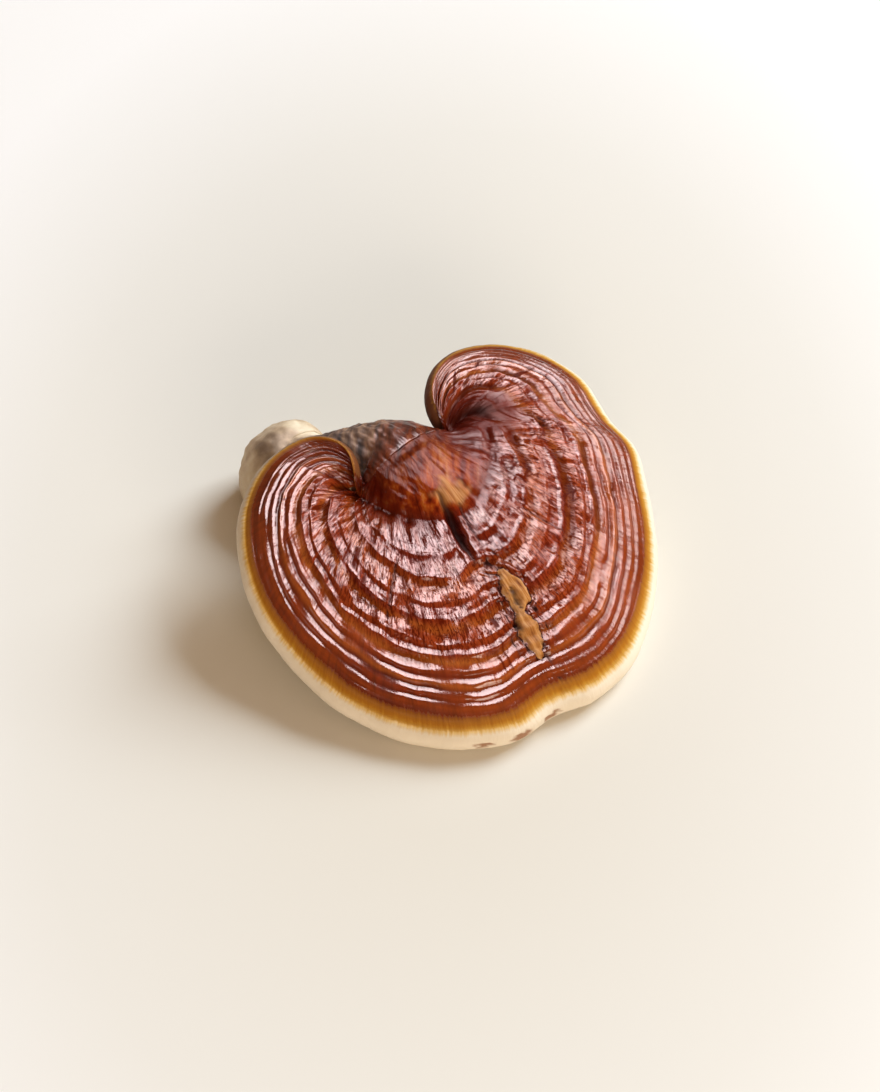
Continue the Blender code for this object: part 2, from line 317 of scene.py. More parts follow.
def cap_form(shares, rows):
    """The cap's smooth form: a grid of points, with where each one lies on the mushroom."""
    rim_curve = [neck(np.pi), *MARGIN, neck(0.0)]
    rim_line = through(rim_curve, shares)
    after, before = np.clip(shares + 0.004, 0, 1), np.clip(shares - 0.004, 0, 1)
    run = through(rim_curve, after) - through(rim_curve, before)
    outward = np.stack([run[:, 1], -run[:, 0], 0 * shares], axis=1)
    outward /= np.linalg.norm(outward, axis=1)[:, None]
    half = along(shares, RIM_HALF_HEIGHT)[:, None]
    swing = (1.0 - np.cos(np.pi * shares)) / 2.0
    top_angle = np.pi - NECK_SIDE - swing * (np.pi - 2 * NECK_SIDE)
    start, end = neck(top_angle), neck(-top_angle)
    heart = rim_line - outward * RIM_DEPTH

    def edge(angle):
        return heart + outward * RIM_DEPTH * np.cos(angle) + UP * half * np.sin(angle)

    shoulder, heel = edge(RIM_FROM), edge(RIM_TO)
    reach = np.linalg.norm(shoulder - start, axis=1)
    columns, knuckled, across, zone = [], [], [], []
    for kind, t in rows:
        raised = np.zeros_like(shares)
        if kind == "top":
            place = start + (shoulder - start) * t
            rise = along(shares, HUB_HEIGHT)
            rise = rise + (shoulder[:, 2] - rise) * t**FALL
            rise = rise + along(shares, CROWN) * np.sin(np.pi * t**0.9)
            rise = rise - along(shares, HOLLOW) * np.exp(-((t / HOLLOW_REACH) ** 2))
            hump = knuckle(place[:, 0], place[:, 1])
            opened = open_side(place[:, 0], place[:, 1])
            raised = smooth_step(hump - rise, -1.5 - 4.0 * opened, 3.0 + 2.0 * opened)
            blend = KNUCKLE_BLEND + WIDE_BLEND * opened * smooth_step(t, 0.0, 0.3)
            place[:, 2] += (soft_max(rise, hump, blend) - place[:, 2]) * smooth_step(t, 0.0, 0.06)
            # near the rim the top bends over into the shoulder instead of meeting it at an angle
            place[:, 2] += (shoulder[:, 2] - place[:, 2]) * smooth_step(t, 0.97, 1.0)
            across.append(reach * t)
        elif kind == "rim":
            angle = RIM_FROM + (RIM_TO - RIM_FROM) * t
            place = edge(angle)
            across.append(reach + (RIM_FROM - angle) * RIM_DEPTH)
        else:
            place = end + (heel - end) * t
            place[:, 2] += along(shares, UNDER_ARCH) * np.sin(np.pi * t)
            across.append(reach * t)
        columns.append(place)
        knuckled.append(raised)
        zone.append(np.full_like(shares, {"top": 0.0, "rim": 1.0, "under": 2.0}[kind]))
    form = np.stack(columns, axis=1)
    # both ends of the grid are the two sides of the neck
    sides = np.linspace(NECK_SIDE, -NECK_SIDE, form.shape[1])
    for side, weight in ((neck(np.pi - sides), shares), (neck(sides), 1.0 - shares)):
        near = (1.0 - smooth_step(weight, 0.0, 0.012))[:, None, None]
        form += (side - form) * near
    return form, np.stack(across, 1), np.stack(knuckled, 1), np.stack(zone, 1), reach


def facing(grid):
    """The outward direction at each point of a grid of points."""
    rise = np.gradient(grid, axis=0)
    run = np.gradient(grid, axis=1)
    normal = np.cross(run, rise)
    length = np.linalg.norm(normal, axis=2, keepdims=True)
    return normal / np.maximum(length, 1e-9)


def stem_streaks(points):
    """Relief of the lengthwise fibres that run from the stem over the knuckle."""
    rel = points - NECK_CENTRE
    across, back, up = rel @ NECK_ACROSS, rel @ NECK_BACK, rel[..., 2]
    coarse = unevenness(across / 3.2, up / 3.2, back / 14.0, seed=21)
    fine = unevenness(across / 1.1, up / 1.1, back / 7.0, seed=22)
    behind = smooth_step(back, -12.0, 4.0)
    return (0.48 + 0.05 * behind) * coarse + (0.20 + 0.05 * behind) * fine


def from_back(points):
    """0 on the knuckle's front to 1 on the stem behind the neck."""
    return smooth_step((points - NECK_CENTRE) @ NECK_BACK, -16.0, 4.0)


def fan(shares, across, t, spacing, length, seed):
    """Radial wrinkles that fork as they spread, so that they stay about this far apart."""
    total = np.zeros_like(across)
    octave = np.log2(np.clip(0.1 + 0.9 * t, 0.06, 1.0)) + 4.0
    for step in range(5):
        weight = np.clip(1.0 - np.abs(octave - step), 0.0, 1.0)
        lines = RIM_LENGTH / spacing / 2.0 ** (4 - step)
        wander = 0.35 * unevenness(shares * 30, across / 9.0, seed=seed + 1)
        total += weight * unevenness(shares * lines + wander, across / length, step, seed=seed)
    return total


def make_cap():
    """Points of the finished cap, with the measures that its colours are drawn from."""
    evenly = np.linspace(0.0, 1.0, CAP_STATIONS)
    shares = evenly - 0.35 * np.sin(2 * np.pi * evenly) / (2 * np.pi)
    rows = [("top", t) for t in np.linspace(0.0, 1.0, TOP_ROWS)]
    rows += [("rim", t) for t in np.linspace(0.0, 1.0, RIM_ROWS + 2)[1:-1]]
    rows += [("under", t) for t in np.linspace(1.0, 0.0, UNDER_ROWS)]
    form, across, knuckled, zone, reach = cap_form(shares, rows)
    x, y = form[..., 0], form[..., 1]
    s = np.broadcast_to(shares[:, None], across.shape)
    t = np.clip(across / reach[:, None], 0.0, 1.0)
    on_top = zone < 0.5
    open_cap = on_top * (1.0 - knuckled)

    # distance from the rim's shoulder, drawn together where the lobes run into the neck
    spread = np.sqrt(reach**2 + LOBE_GATHER**2)[:, None]
    inset = (1.0 - across / reach[:, None]) * spread
    wobble = 0.9 * unevenness(s * 26, inset / 14.0, seed=3)
    wobble += 0.35 * unevenness(s * 80, inset / 8.0, seed=4)
    ring = inset + wobble * smooth_step(inset, 0.0, 10.0)
    to_right = smooth_step(s, 0.52, 0.66)

    # terraces: a groove after each band of growth, and finer lines on the outer bands
    relief = np.zeros_like(ring)
    for place, width, deep in GROWTH_GROOVES:
        strength = np.clip(0.75 + 1.2 * unevenness(s * 28, place, seed=5), 0.10, 1.6)
        relief -= deep * strength * np.exp(-(((ring - place) / width) ** 2))
        lip = ring - place - 1.5 * width - 0.2
        relief += 0.70 * deep * strength * np.exp(-((lip / 0.5) ** 2))
    fine_rings = unevenness(ring / 0.9, s * 18, seed=6) * smooth_step(ring, 1.0, 4.0)
    relief += 0.09 * fine_rings * (1.0 - smooth_step(ring, 16.0, 28.0)) * (1.0 - 0.6 * to_right)
    grooves = np.clip(-relief / 0.6, 0.0, 1.0)

    # radial pleats and the fine cracks between them, strongest round the hub
    inner = smooth_step(ring, 13.0, 25.0)
    pleats = fan(s, across, t, 3.0, 9.0, seed=7)
    valleys = fan(s, across, t, 1.7, 34.0, seed=9)
    wrinkles = fan(s, across, t, 1.5, 6.0, seed=8)
    cross_cracks = fan(s, across, t, 7.0, 2.2, seed=10)
    patchy = smooth_step(unevenness(s * 24, across / 12.0, seed=23), -0.25, 0.35)
    veins = unevenness(s * 60, across / 160.0, seed=27)
    veins = veins + 0.06 * unevenness(s * 120, across / 6.0, seed=29)
    broken = unevenness(s * 40, across / 12.0, seed=30)
    pit = 1.0 - smooth_step(np.hypot((x - SUNK[0]) / 1.35, y - SUNK[1]), 6.0, 12.0)
    wrinkled = inner * (1.0 - 0.85 * pit) * smooth_step(t, 0.02, 0.12)
    kept = smooth_step(unevenness(s * 60, across / 7.0, seed=33), -0.05, 0.30)
    relief += (0.10 + 0.40 * wrinkled) * pleats - 0.22 * creases(valleys, 0.16) * kept * wrinkled
    relief += 0.04 * wrinkled * wrinkles
    relief -= 0.12 * creases(veins, 0.10) * smooth_step(ring, 6.0, 14.0) * smooth_step(broken, -0.2, 0.2)
    waves = unevenness(s * 44, across / 7.0, seed=11) * smooth_step(ring, 2.0, 8.0)
    relief += (0.12 + 0.42 * wrinkled) * waves
    ripples = unevenness(s * 150, ring / 2.6, seed=28) * smooth_step(ring, 5.0, 10.0)
    relief += 0.07 * ripples * (1.0 - inner)

    # the cleft in front of the knuckle, with lips that stand up a little, and its inside drawn near-black
    # as painted shade
    off, place = beside_line(x, y, CLEFT)
    off = off + 0.45 * unevenness(x / 2.6, y / 2.6, seed=12)
    taper = np.sin(np.pi * np.clip(0.10 + 0.85 * place, 0.0, 1.0))
    cleft = np.exp(-(np.abs(off / (1.25 * taper + 0.12)) ** 3)) * on_top
    relief -= 2.6 * cleft * taper
    relief += 0.45 * np.exp(-(((np.abs(off) - 2.0) / 1.0) ** 2)) * on_top * taper
    cracks_and_shade = cleft * (0.6 + 0.4 * taper)

    # crust torn open beyond it: tan flesh laid bare, with raised edges and splinters alongside
    off, place = beside_line(x, y, TORN_CRUST)
    along_tear = place * TEAR_LENGTH
    ragged = 0.8 * unevenness(off / 3.0, along_tear / 5.0, seed=13)
    half = np.interp(place, np.linspace(0.0, 1.0, len(TORN_HALF_WIDTH)), TORN_HALF_WIDTH)
    from_edge = np.abs(off) - half - ragged * np.minimum(half, 1.0)
    from_edge = from_edge + 2.0 * (1.0 - smooth_step(half, 0.1, 0.6))
    tear = np.clip(from_edge + 3.0 * (1.0 - on_top), -4.0, 6.0)
    torn = (1.0 - smooth_step(from_edge, -0.3, 0.25)) * on_top
    relief += 0.55 * torn + 0.50 * torn * unevenness(off / 1.6, along_tear / 5.0, seed=15)
    rent = np.exp(-(((from_edge - 0.35) / 0.35) ** 2)) * smooth_step(half, 0.1, 0.6) * on_top
    relief -= 0.9 * rent
    # a painted shadow: a dark line under the lip of the torn flap, broken in places
    undercut = np.exp(-(((off + half + 0.5) / 0.55) ** 2)) * smooth_step(half, 0.6, 1.6) * on_top
    relief -= 0.7 * undercut
    gaps = smooth_step(unevenness(along_tear / 5.0, 0.0, seed=34), -0.3, 0.1)
    cracks_and_shade = np.maximum(cracks_and_shade, 0.8 * undercut * gaps)
    relief += 0.5 * np.exp(-(((from_edge - 1.6) / 0.8) ** 2)) * on_top * smooth_step(half, 0.0, 0.6)
    splinter_field = unevenness(off / 2.2, along_tear / 14.0, seed=16)
    beside = np.exp(-((off / 6.0) ** 2))
    beside = beside * smooth_step(place, 0.0, 0.1) * (1.0 - smooth_step(place, 0.9, 1.0))
    beside = np.clip(2.2 * beside, 0.0, 1.0) * on_top * (1.0 - 0.5 * torn)
    relief -= 0.6 * creases(splinter_field, 0.30) * beside
    relief += 0.35 * beside * unevenness(off / 1.8, along_tear / 6.0, seed=24) * (1.0 - torn)

    wounds = [(line, SPLIT_WIDTH) for line in SPLITS] + [(line, SLIT_WIDTH) for line in TEAR_SLITS]
    for line, wide in wounds:
        off, place = beside_line(x, y, line)
        off = off + wide * unevenness(x / 1.3, y / 1.3, seed=17)
        split = np.exp(-((off / (0.12 + wide * np.sin(np.pi * place))) ** 2)) * on_top
        relief -= 0.6 * split
        cracks_and_shade = np.maximum(cracks_and_shade, 0.85 * split)

    # the crease on the knuckle's left and the valley on its right, both with painted shade
    off, place = beside_line(x, y, NECK_CREASE)
    crease = np.exp(-((off / 1.9) ** 2)) * on_top * (1.0 - 0.6 * place)
    relief -= 0.7 * crease
    shade = np.clip(1.3 * np.exp(-((off / 3.4) ** 2)) * (1.0 - 0.5 * place), 0.0, 1.0)
    off, place = beside_line(x, y, VALLEY)
    valley = np.exp(-((off / 1.5) ** 2)) * on_top
    relief -= 0.6 * valley
    shade = np.maximum(shade, 0.7 * np.exp(-((off / 2.6) ** 2)))
    # painted shade over the sunken ground between the knuckle's right shoulder and the right lobe
    sunk = np.hypot(x - SUNK_SHADE[0], y - SUNK_SHADE[1]) / 8.5
    shade = np.maximum(shade, 0.7 * np.exp(-(sunk**2)))
    # the core of the right lobe's hollow is a near-black painted shade, drawn with the cracks
    core = np.hypot((x - SUNK_CORE[0]) / 2.2, y - SUNK_CORE[1]) / 3.2
    cracks_and_shade = np.maximum(cracks_and_shade, 0.85 * np.exp(-(core**2)) * on_top)
    # beside the tear the crust itself is a little darker, kept with the painted shade
    shade = np.maximum(shade, 0.4 * beside) * on_top

    # the tan patch where the lacquer is worn through on the knuckle's front
    from_patch = np.hypot((x - WORN_PATCH[0]) / 1.25, y - WORN_PATCH[1])
    from_patch = from_patch + 2.2 * unevenness(x / 3.0, y / 3.0, seed=25)
    worn = (1.0 - smooth_step(from_patch, 2.0, 5.0)) * on_top
    from_hub = np.hypot(x - MATT_HUB[0], y - MATT_HUB[1]) / MATT_REACH
    matt = np.maximum(worn, np.exp(-(from_hub**3))) * on_top

    relief *= np.where(on_top, 1.0 - 0.55 * knuckled, 0.0)
    relief += stem_streaks(form) * knuckled
    rolled = (zone > 0.5) * (zone < 1.5)
    round_rim = across - reach[:, None]
    swell = 0.30 * unevenness(s * 34, 0.0, seed=18)
    relief += (swell + 0.10 * unevenness(s * 120, across / 4.0, seed=19)) * rolled
    bruise = np.zeros_like(ring)
    for place, size in RIM_BRUISES:
        away = np.hypot((s - place) * RIM_LENGTH / 1.6, round_rim - BRUISE_DEPTH)
        away = away + 1.2 * unevenness(s * 260, across / 1.4, seed=26)
        bruise = np.maximum(bruise, (1.0 - smooth_step(away, 0.5 * size, 0.75 * size)) * rolled)
    relief -= 0.3 * bruise
    relief += 0.2 * unevenness(s * 40, across / 9.0, seed=20) * (zone > 1.5)

    # the neck's oval itself is shared with the stem, so the relief there is the stem's
    normal = facing(form)
    by_ends, by_rows = (
        1.0 - smooth_step(np.minimum(np.arange(n), np.arange(n)[::-1]) / 5.0) for n in ring.shape
    )
    at_neck = np.maximum(by_ends[:, None], by_rows[None, :])
    from_axis = form - NECK_CENTRE
    from_axis -= (from_axis @ NECK_BACK)[..., None] * NECK_BACK
    from_axis /= np.maximum(np.linalg.norm(from_axis, axis=2, keepdims=True), 1e-9)
    normal += (from_axis - normal) * at_neck[..., None]
    relief += (stem_streaks(form) - relief) * at_neck
    points = form + normal * relief[..., None]

    # the rim keeps its cream away from the neck; near the neck it takes the painted shade of the shaded rim
    cream = smooth_step(s, 0.045, 0.16) * (1.0 - smooth_step(s, 0.80, 0.93))
    # the ochre band is widest in front and narrows to a line on both lobes
    narrowing = 1.0 + 0.9 * (1.0 - smooth_step(s, 0.10, 0.32)) + 1.1 * smooth_step(s, 0.50, 0.72)
    narrowing += 4.0 * (1.0 - smooth_step(s, 0.015, 0.07))
    margin = np.where(on_top, ring * narrowing, -round_rim)
    growth = np.stack([s * RIM_LENGTH, across, ring], axis=2)
    skin = np.stack([knuckled, 0.85 * worn, cracks_and_shade], axis=2)
    grooved = grooves * open_cap * (0.45 + 0.55 * to_right)
    wear = np.stack([grooved, wrinkled * open_cap, margin], axis=2)
    # painted shade, the bruises on the rim, and the knuckle's tone from front to back
    stain = np.stack([shade, bruise, from_back(form)], axis=2)
    # each set of lines is drawn where its measure comes to 0, and outside its zone it never does
    vein_zone = smooth_step(ring, 6.0, 13.0) * smooth_step(broken, -0.1, 0.3)
    lines = np.stack([
        np.abs(valleys) + 0.30 * (1.0 - kept),
        np.abs(cross_cracks) + 0.15 * patchy,
        np.abs(veins) + 0.25 * (1.0 - vein_zone),
    ], axis=2)
    rents = np.stack([np.abs(splinter_field) + 0.30 * (1.0 - beside), tear, 0.0 * tear], axis=2)
    hub = np.stack([matt, pit * on_top, cream * np.ones_like(ring)], axis=2)
    return points, {
        "growth": growth,
        "skin": skin,
        "wear": wear,
        "stain": stain,
        "lines": lines,
        "rents": rents,
        "hub": hub,
    }


def make_stem():
    """Points of the finished stem, ring by ring from the neck to the cut, with its measures."""
    table = [(*NECK_CENTRE, NECK_HALF_WIDTH, NECK_HALF_HEIGHT)]
    table += [(*middle, width, height) for middle, width, height in STEM_SECTIONS]
    shares = np.linspace(0.0, 1.0, STEM_RINGS)
    rings = through(table, shares)
    ahead = np.gradient(rings[:, :3], axis=0)
    settle = smooth_step(shares, 0.0, 0.10)[:, None]
    ahead = ahead / np.linalg.norm(ahead, axis=1)[:, None]
    ahead = NECK_BACK + (ahead - NECK_BACK) * settle
    turns = np.linspace(0.0, 2 * np.pi, STEM_SIDES, endpoint=False)
    loops = []
    across = NECK_ACROSS
    for ring, run in zip(rings, ahead):
        run = run / np.linalg.norm(run)
        across = across - run * (across @ run)
        across = across / np.linalg.norm(across)
        wide, high = np.cos(turns) * ring[3], np.sin(turns) * ring[4]
        loops.append(ring[:3] + np.outer(wide, across) + np.outer(high, np.cross(across, run)))
    form = np.array(loops)
    normal = form - rings[:, None, :3]
    normal /= np.linalg.norm(normal, axis=2, keepdims=True)
    down = np.broadcast_to(shares[:, None], form.shape[:2])
    lumps = unevenness(*np.moveaxis(form / 9.0, 2, 0), seed=31)
    rough = unevenness(*np.moveaxis(form / 2.4, 2, 0), seed=32)
    foot = smooth_step(down, 0.45, 0.65)
    own = (1.0 * lumps + 0.28 * rough) * foot + 0.4 * rough * (1 - foot)
    relief = stem_streaks(form) * (1 - foot) + own * smooth_step(down, 0.02, 0.15)
    # a shallow waist where the pale foot starts
    relief -= 0.9 * np.exp(-(((down - 0.55) / 0.03) ** 2))
    points = form + normal * relief[..., None]
    growth = np.stack([np.zeros_like(down), 100.0 * down, from_back(form)], axis=2)
    return points, {"growth": growth}


# ---------------------------------------------------------------------------------------------
# Meshes
# ---------------------------------------------------------------------------------------------


def grid_faces(rows, columns, closed):
    """Quads between the neighbours of a grid, closed round its columns where asked."""
    i = np.arange(rows - 1)[:, None]
    j = np.arange(columns if closed else columns - 1)[None, :]
    k = (j + 1) % columns
    here, beyond = i * columns, (i + 1) * columns
    return np.stack([here + j, here + k, beyond + k, beyond + j], axis=-1).reshape(-1, 4)


def mesh_piece(name, points, faces, ends, measures, materials):
    """A smooth mesh object in metres with closed ends. Its measures are kept on its points."""

    def with_middles(values):
        values = values.reshape(-1, 3)
        return np.vstack([values, *[values[end].mean(axis=0) for end in ends]])

    middle = points.size // 3
    closing = [(a, b, middle + n) for n, end in enumerate(ends) for a, b in zip(end, np.roll(end, -1))]
    mesh = bpy.data.meshes.new(name)
    sides = [list(map(int, corners)) for corners in [*faces, *closing]]
    mesh.from_pydata((with_middles(points) * MM).tolist(), [], sides)
    for label, values in measures.items():
        layer = mesh.attributes.new(label, "FLOAT_VECTOR", "POINT")
        layer.data.foreach_set("vector", with_middles(values).astype(np.float32).ravel())
    for material in materials:
        mesh.materials.append(material)
    mesh.shade_smooth()
    for face in mesh.polygons[len(faces):]:
        face.use_smooth = False
    mesh.update()
    piece = bpy.data.objects.new(name, mesh)
    bpy.context.scene.collection.objects.link(piece)
    return piece


# ---------------------------------------------------------------------------------------------
# Materials
# ---------------------------------------------------------------------------------------------


def linear(code, alpha=1.0):
    """A hex sRGB colour as the linear numbers that a shader takes."""
    parts = [int(code[n : n + 2], 16) / 255 for n in (1, 3, 5)]
    return (*[c / 12.92 if c <= 0.04045 else ((c + 0.055) / 1.055) ** 2.4 for c in parts], alpha)


def add(tree, kind, settings=None, **links):
    """A node of one kind. Settings go to its properties or inputs, and links join its inputs to outputs."""
    node = tree.nodes.new("ShaderNode" + kind)
    for key, value in (settings or {}).items():
        if isinstance(key, int) or key in node.inputs:
            node.inputs[key].default_value = value
        elif key == "stops":
            ramp = node.color_ramp
            while len(ramp.elements) < len(value):
                ramp.elements.new(0.5)
            for element, (place, colour) in zip(ramp.elements, value):
                element.position = place
                shade = linear(colour) if isinstance(colour, str) else (colour, colour, colour, 1.0)
                element.color = shade
        else:
            setattr(node, key, value)
    for key, source in links.items():
        numbered = key[0] == "i" and key[1:].isdigit()
        tree.links.new(source, node.inputs[int(key[1:]) if numbered else key])
    return node


def new_material(name):
    """An empty material with its shader joined to its surface."""
    material = bpy.data.materials.new(name)
    material.use_nodes = True
    tree = material.node_tree
    tree.nodes.clear()
    shader = add(tree, "BsdfPrincipled")
    output = add(tree, "OutputMaterial")
    tree.links.new(shader.outputs["BSDF"], output.inputs["Surface"])
    return material, tree, shader


def mask_outputs(tree, name):
    """The three measures kept together under one name on the mesh's points."""
    kept = add(tree, "Attribute", {"attribute_name": name})
    return add(tree, "SeparateXYZ", i0=kept.outputs["Vector"]).outputs


def over(tree, below, colour, amount, strength=1.0):
    """One colour laid over another by a mask."""
    if strength < 1.0:
        amount = add(tree, "Math", {"operation": "MULTIPLY", 1: strength}, i0=amount).outputs[0]
    if isinstance(colour, str):
        mix = add(tree, "Mix", {"data_type": "RGBA", 7: linear(colour)}, i0=amount, i6=below)
    else:
        mix = add(tree, "Mix", {"data_type": "RGBA"}, i0=amount, i6=below, i7=colour)
    return mix.outputs[2]


def strongest(tree, first, *others):
    """The strongest of some masks at each place."""
    for other in others:
        first = add(tree, "Math", {"operation": "MAXIMUM"}, i0=first, i1=other).outputs[0]
    return first


def thin_line(tree, field, width):
    """A line drawn where a measure comes to 0."""
    size = add(tree, "Math", {"operation": "ABSOLUTE"}, i0=field).outputs[0]
    return add(tree, "MapRange", {"From Min": width, "From Max": 0.25 * width}, Value=size).outputs[0]


def fibre_tone(tree, where, stops):
    """Streaks that run along the stem and over the knuckle: about 2 mm wide and 12 mm long."""
    turned = add(tree, "Mapping", {"Rotation": (0.0, 0.0, -NECK_TURN), "Scale": (520.0, 80.0, 520.0)},
                 Vector=where)
    fibre = add(tree, "TexNoise", {"Scale": 1.0, "Detail": 4.0}, Vector=turned.outputs[0])
    return add(tree, "ValToRGB", {"stops": stops}, Fac=fibre.outputs[0]).outputs[0]


KNUCKLE_FRONT = [(0.30, "#5A1606"), (0.45, "#862C0A"), (0.60, "#A84C16"), (0.75, "#C07434")]
KNUCKLE_BACK = [(0.30, "#2A0C05"), (0.45, "#521A0A"), (0.60, "#763014"), (0.75, "#8E5430")]
STEM_GREY = [(0.30, "#2E180C"), (0.45, "#5E402A"), (0.60, "#8A6848"), (0.75, "#A68C6C")]


def lacquered_crust():
    """Reishi crust, grown as a hard natural lacquer over cork: deep red-brown, ringed and very glossy.

    The last growth at the rim has no lacquer yet: it goes from ochre through yellow to matt cream.
    """
    material, tree, shader = new_material("Lacquered reishi crust")
    growth = add(tree, "Attribute", {"attribute_name": "growth"}).outputs["Vector"]
    ring = mask_outputs(tree, "growth")["Z"]
    skin = mask_outputs(tree, "skin")
    wear = mask_outputs(tree, "wear")
    stain = mask_outputs(tree, "stain")
    lines = mask_outputs(tree, "lines")
    rents = mask_outputs(tree, "rents")
    hub = mask_outputs(tree, "hub")
    where = add(tree, "TexCoord").outputs["Object"]

    # rings: the tone follows the distance in from the rim, from 0 to 60 mm, and drifts by 1 mm
    drift = add(tree, "TexNoise", {"Scale": 110.0, "Detail": 4.0}, Vector=where)
    moved = add(tree, "Math", {"operation": "MULTIPLY_ADD", 1: 2.4, 2: -1.2}, i0=drift.outputs[0])
    inset = add(tree, "Math", {"operation": "ADD"}, i0=ring, i1=moved.outputs[0]).outputs[0]
    share = add(tree, "MapRange", {"From Min": 0.0, "From Max": 60.0}, Value=inset)
    rings = add(tree, "ValToRGB", {"stops": [
        (0.00, "#6E300A"), (0.06, "#702408"), (0.075, "#5E1806"), (0.10, "#86340E"), (0.125, "#621806"),
        (0.15, "#842E0E"), (0.18, "#5A1205"), (0.205, "#A04E1C"), (0.24, "#6C1A06"), (0.285, "#983E12"),
        (0.31, "#B05E24"), (0.35, "#84280B"), (0.44, "#963812"), (0.475, "#B0581E"),
        (0.51, "#84270B"), (0.60, "#8E3010"), (0.70, "#A84C18"), (0.75, "#7C220A"), (1.0, "#781E0A")]},
        Fac=share.outputs[0]).outputs[0]

    # fibres under the lacquer, streaked outwards from the hub: about 1.5 mm wide and 15 mm long
    grain_space = add(tree, "VectorMath", {"operation": "MULTIPLY", 1: (0.65, 0.08, 0.0)}, i0=growth)
    grain = add(tree, "TexNoise", {"Scale": 1.0, "Detail": 5.0, "Roughness": 0.6},
                Vector=grain_space.outputs[0])
    streak = add(tree, "ValToRGB", {"stops": [(0.34, 0.72), (0.50, 1.0), (0.68, 1.25)]},
                 Fac=grain.outputs[0])
    crust = add(tree, "Mix", {"data_type": "RGBA", "blend_type": "MULTIPLY", 0: 1.0},
                i6=rings, i7=streak.outputs[0]).outputs[2]

    # cloudy change of tone over the cap, 10 to 30 mm across
    cloud = add(tree, "TexNoise", {"Scale": 45.0, "Detail": 2.0}, Vector=where)
    clouded = add(tree, "MapRange", {"From Min": 0.38, "From Max": 0.68}, Value=cloud.outputs[0])
    crust = over(tree, crust, "#AE4E18", clouded.outputs[0], 0.30)

    # the knuckle: orange-brown in front and nearly black-brown behind, streaked along the stem
    front = fibre_tone(tree, where, KNUCKLE_FRONT)
    back = fibre_tone(tree, where, KNUCKLE_BACK)
    knuckle_tone = over(tree, front, back, stain["Z"])
    crust = over(tree, crust, knuckle_tone, skin["X"])

    # fine crazing of the lacquer: plates 1 to 2 mm wide, drawn out towards the rim
    plate_space = add(tree, "VectorMath", {"operation": "MULTIPLY", 1: (0.85, 0.24, 0.0)}, i0=growth)
    plates = add(tree, "TexNoise", {"Scale": 1.0, "Detail": 3.0, "Roughness": 0.55, "Distortion": 0.4},
                 Vector=plate_space.outputs[0])
    folded = add(tree, "Math", {"operation": "SUBTRACT", 1: 0.5}, i0=plates.outputs[0])
    folded = add(tree, "Math", {"operation": "ABSOLUTE"}, i0=folded.outputs[0])
    crazed = add(tree, "MapRange", {"From Min": 0.016, "From Max": 0.052}, Value=folded.outputs[0])
    seams = add(tree, "Math", {"operation": "SUBTRACT", 0: 1.0}, i1=crazed.outputs[0]).outputs[0]

    # the crust is darker in grooves, creases and cracks; all but the veins keep to the wrinkled crust
    crust = over(tree, crust, "#4A1007", wear["X"], 0.75)
    hairs = strongest(tree, thin_line(tree, lines["X"], 0.12), thin_line(tree, lines["Y"], 0.07), seams)
    hairs = add(tree, "Math", {"operation": "MULTIPLY"}, i0=hairs, i1=wear["Y"]).outputs[0]
    hairs = strongest(tree, hairs, thin_line(tree, lines["Z"], 0.09))
    crust = over(tree, crust, "#4C1006", hairs, 0.80)
    # painted shade in the crease, the valley and the sunken ground by the knuckle; beside the tear it is
    # darker crust
    crust = over(tree, crust, "#4E1006", stain["X"], 0.80)
    crust = over(tree, crust, "#5C1206", hub["Y"], 0.80)

    # bare corky flesh in the torn crust, with a tattered edge and a dark line round it, painted shadow
    # under its lip
    flesh_tone = add(tree, "ValToRGB", {"stops": [
        (0.32, "#7E4618"), (0.45, "#B4783A"), (0.60, "#CC9860"), (0.75, "#D8AC78")]}, Fac=grain.outputs[0])
    tatter = add(tree, "TexNoise", {"Scale": 420.0, "Detail": 3.0}, Vector=where)
    tear = add(tree, "Math", {"operation": "MULTIPLY_ADD", 1: 1.8, 2: -0.9}, i0=tatter.outputs[0])
    tear = add(tree, "Math", {"operation": "ADD"}, i0=tear.outputs[0], i1=rents["Y"]).outputs[0]
    flesh = add(tree, "MapRange", {"From Min": 0.12, "From Max": -0.12}, Value=tear).outputs[0]
    flesh = strongest(tree, flesh, skin["Y"])
    crust = over(tree, crust, flesh_tone.outputs[0], flesh, 0.92)
    past_tear = add(tree, "Math", {"operation": "SUBTRACT", 1: 0.25}, i0=tear).outputs[0]
    edge_shadow = thin_line(tree, past_tear, 0.22)
    # near-black: splinters and cracks, with painted shade in the cleft, in the hollow's core and under the
    # torn lips
    splits_and_shade = strongest(tree, thin_line(tree, rents["X"], 0.16), skin["Z"], edge_shadow)
    crust = over(tree, crust, "#1E0603", splits_and_shade, 0.95)

    # the growing rim: a brown line, ochre with a ragged inner edge, then cream with fine striation
    stria_space = add(tree, "VectorMath", {"operation": "MULTIPLY", 1: (1.3, 0.10, 0.0)}, i0=growth)
    striae = add(tree, "TexNoise", {"Scale": 1.0, "Detail": 5.0, "Roughness": 0.65},
                 Vector=stria_space.outputs[0])
    ragged = add(tree, "Math", {"operation": "MULTIPLY_ADD", 1: 2.8, 2: -1.4}, i0=striae.outputs[0])
    edge = add(tree, "Math", {"operation": "ADD"}, i0=wear["Z"], i1=ragged.outputs[0]).outputs[0]
    rim_share = add(tree, "MapRange", {"From Min": 4.5, "From Max": -4.8}, Value=edge)
    rim_tone = add(tree, "ValToRGB", {"stops": [
        (0.0, "#6A300A"), (0.10, "#8A4E0A"), (0.30, "#A86A10"), (0.44, "#C28E2A"), (0.52, "#DDB978"),
        (0.64, "#E8DAC4"), (1.0, "#E4D6C0")]}, Fac=rim_share.outputs[0]).outputs[0]
